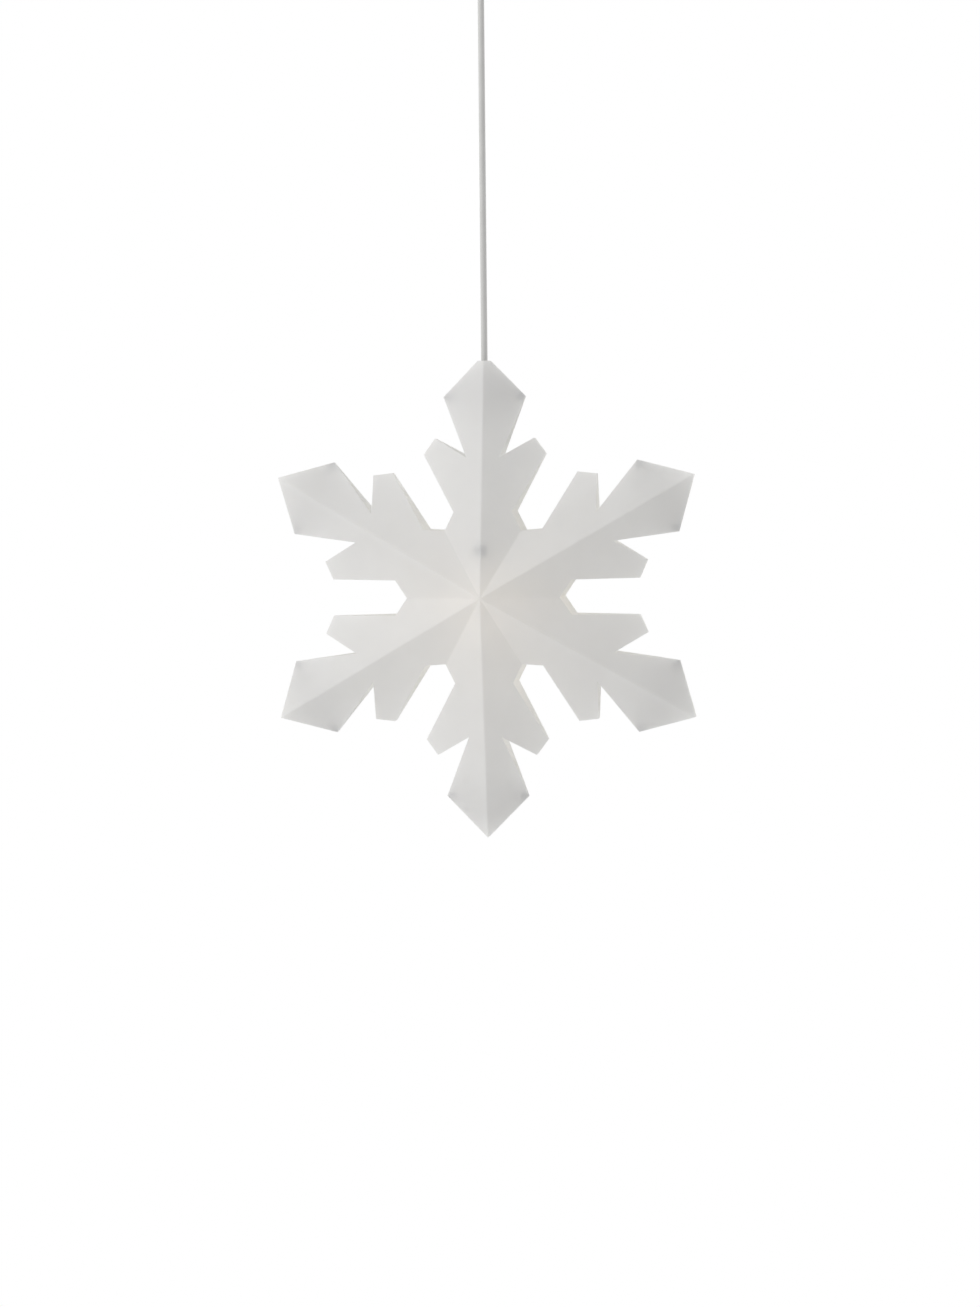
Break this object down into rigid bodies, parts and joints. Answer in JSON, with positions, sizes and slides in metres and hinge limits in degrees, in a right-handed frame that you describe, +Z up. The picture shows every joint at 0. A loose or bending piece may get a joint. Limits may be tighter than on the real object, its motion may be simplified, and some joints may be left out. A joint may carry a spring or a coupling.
{
  "type": "pendant lamp",
  "caption": "Snowflake pendant lamp: two folded white foil sheets round a small globe bulb, on a straight cord with a ceiling cup.",
  "frame": {"origin": "middle of the mounting strap's upper face, in the ceiling plane", "axes": "+Z up, out of the strap's face into the ceiling; the cord hangs down the Z axis; the front sheet faces -Y; +X to the right seen from the front"},
  "size_m": [0.387, 0.102, 0.8534],
  "materials": {
    "foil": "matt translucent lampshade foil",
    "clear_plastic": "natural moulded plastic",
    "white_plastic": "moulded white plastic, satin",
    "grip_nylon": "natural nylon",
    "nylon_screw": "natural nylon",
    "ceramic_insert": "pressed steatite",
    "steel": "zinc plated",
    "brass": "bright",
    "cord_sheath": "smooth round cord sheath",
    "wire_cover": "wire insulation",
    "opal_globe": "opal",
    "bulb_plastic": "white moulded",
    "board": "white solder mask",
    "nickel_cap": "nickel plated",
    "dark_insulator": "black glass bead",
    "white_plastic_cup": "moulded white, satin",
    "block_plastic": "natural polyamide"
  },
  "bodies": {
    "ceiling": {"mounting_strap": "steel", "ceiling_cup": "white_plastic_cup", "cup_side_screws": "steel", "cup_cord_grip": "grip_nylon", "cup_grip_nut": "grip_nylon", "cup_grip_screw": "nylon_screw", "terminal_block": "block_plastic", "terminal_clamps": "brass", "terminal_screws": "steel", "block_screw": "steel", "cord_end_ceiling": "cord_sheath", "ceiling_wires": "wire_cover"},
    "cord_bend": {"cord_bend": "cord_sheath"},
    "cord": {"cord": "cord_sheath"},
    "lamp": {"cord_end_holder": "cord_sheath", "holder_wires": "wire_cover", "holder_cord_grip": "grip_nylon", "holder_grip_screw": "nylon_screw", "holder_cap": "white_plastic", "holder_body": "white_plastic", "contact_insert": "ceramic_insert", "insert_screws": "steel", "centre_contact": "brass", "threaded_shell": "brass", "shade_ring": "white_plastic", "shade_carrier": "white_plastic", "back_shade": "foil", "back_stud": "clear_plastic", "corner_tabs": "foil"},
    "front_shade": {"front_shade": "foil", "front_stud": "clear_plastic"},
    "bulb_tip": {"bulb_tip": "nickel_cap", "bulb_insulator": "dark_insulator"},
    "bulb": {"bulb_globe": "opal_globe", "bulb_collar": "bulb_plastic", "bulb_light_board": "board", "bulb_driver": "board", "bulb_screw_cap": "nickel_cap"}
  },
  "joints": [
    {"name": "sway_fore_aft", "type": "hinge", "parent": "ceiling", "child": "cord_bend", "pos_m": [0, 0, -0.066], "axis": [1, 0, 0], "range_deg": [-15, 15]},
    {"name": "sway_side", "type": "hinge", "parent": "cord_bend", "child": "cord", "pos_m": [0, 0, -0.066], "axis": [0, 1, 0], "range_deg": [-15, 15]},
    {"name": "turn", "type": "hinge", "parent": "cord", "child": "lamp", "pos_m": [0, 0, -0.53], "axis": [0, 0, 1], "range_deg": [-180, 180]},
    {"name": "front_off", "type": "slide", "parent": "lamp", "child": "front_shade", "axis": [0, -1, 0], "range_m": [0, 0.09]},
    {"name": "bulb_travel", "type": "slide", "parent": "lamp", "child": "bulb_tip", "axis": [0, 0, 1], "range_m": [-0.00846, 0]},
    {"name": "bulb_turn", "type": "hinge", "parent": "bulb_tip", "child": "bulb", "pos_m": [0, 0, -0.63], "axis": [0, 0, 1], "range_deg": [-1080, 0]}
  ],
  "couplings": [
    {"joint": "bulb_travel", "follows": "bulb_turn", "m_per_rad": 0.00044882}
  ]
}
